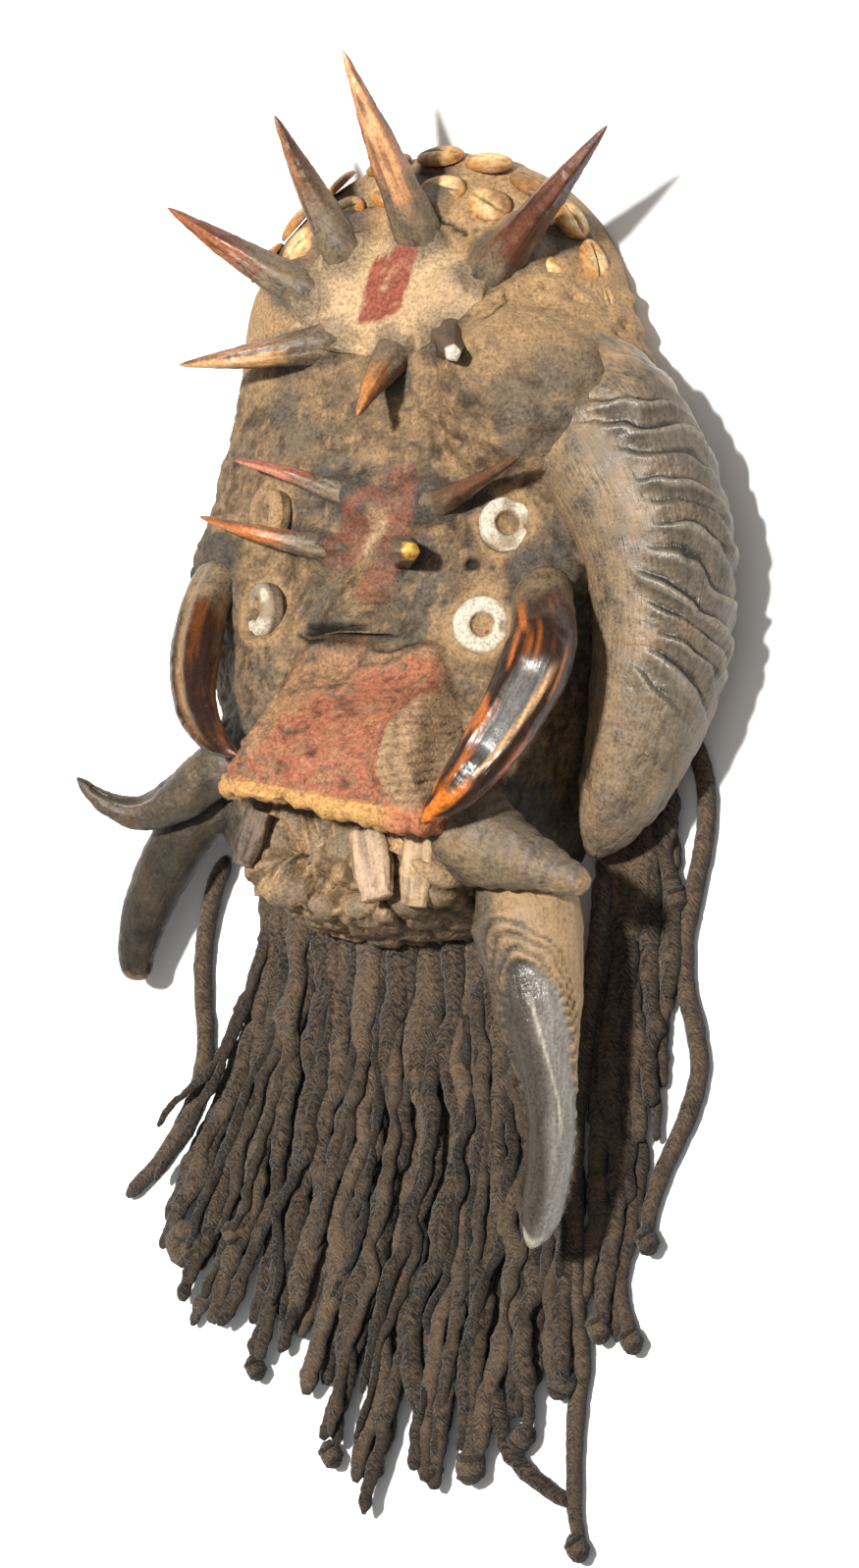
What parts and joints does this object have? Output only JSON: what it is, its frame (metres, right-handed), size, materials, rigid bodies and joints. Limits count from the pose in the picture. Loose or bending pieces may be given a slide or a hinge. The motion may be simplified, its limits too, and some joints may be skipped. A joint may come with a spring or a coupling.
{
  "type": "horned face mask with fibre beard",
  "caption": "Carved face mask with a hollow back, curved horns, tusks, crown spikes, inset shells, chalky eye rings, pegged teeth and a long beard of twisted fibre strands.",
  "frame": {"origin": "on the surface that the mask lies on, under the middle of the box of everything but the loose strands", "axes": "+X to the viewer's right, +Y towards the crown, +Z out of the face"},
  "size_m": [0.3168, 0.6649, 0.1206],
  "materials": {
    "crust": "carved wood under a dusty, cracked clay crust, matt",
    "ram_horn": "ridged grey horn, dusty, softly worn ridges",
    "horn": "dark grey-brown horn, dusty, with worn shiny stretches",
    "tusk": "polished dark brown horn with orange streaks",
    "spike": "dry orange-brown points with a dusty grey base",
    "chalk": "chalky white ring, worn and chipped",
    "cowrie": "smooth cream shell with orange-brown sides, dusty",
    "tooth": "rough pinkish tan peg, matt",
    "fibre": "twisted dark taupe plant fibre, dusty"
  },
  "bodies": {
    "root": {"mask_shell": "crust", "ram_horn": "ram_horn", "cone_horn_right": "horn", "long_horn_right": "horn", "hook_horn_left": "horn", "blade_horn_left": "horn", "tusk_right": "tusk", "tusk_left": "tusk", "eye_ring_upper_right": "chalk", "eye_ring_lower_right": "chalk", "eye_ring_upper_left": "chalk", "eye_ring_lower_left": "chalk", "tooth_left": "tooth", "tooth_middle": "tooth", "tooth_right": "tooth", "brow_spike_upper_left": "spike", "brow_spike_lower_left": "spike", "brow_spike_right": "spike", "bridge_peg": "spike", "beard_lower": "fibre", "beard_upper": "fibre", "beard_side": "fibre", "strand_right_loop": "fibre", "strand_right_knot": "fibre", "strand_long": "fibre", "strand_left": "fibre", "crown_spike_1": "spike", "crown_spike_2": "spike", "crown_spike_3": "spike", "crown_spike_4": "spike", "crown_spike_5": "spike", "crown_spike_6": "spike", "crown_spike_7": "spike", "cowrie_01": "cowrie", "cowrie_02": "cowrie", "cowrie_03": "cowrie", "cowrie_04": "cowrie", "cowrie_05": "cowrie", "cowrie_06": "cowrie", "cowrie_07": "cowrie", "cowrie_08": "cowrie", "cowrie_09": "cowrie", "cowrie_10": "cowrie", "cowrie_11": "cowrie", "cowrie_12": "cowrie", "cowrie_13": "cowrie", "cowrie_14": "cowrie", "cowrie_15": "cowrie", "cowrie_16": "cowrie", "cowrie_17": "cowrie", "cowrie_18": "cowrie"}
  },
  "joints": []
}
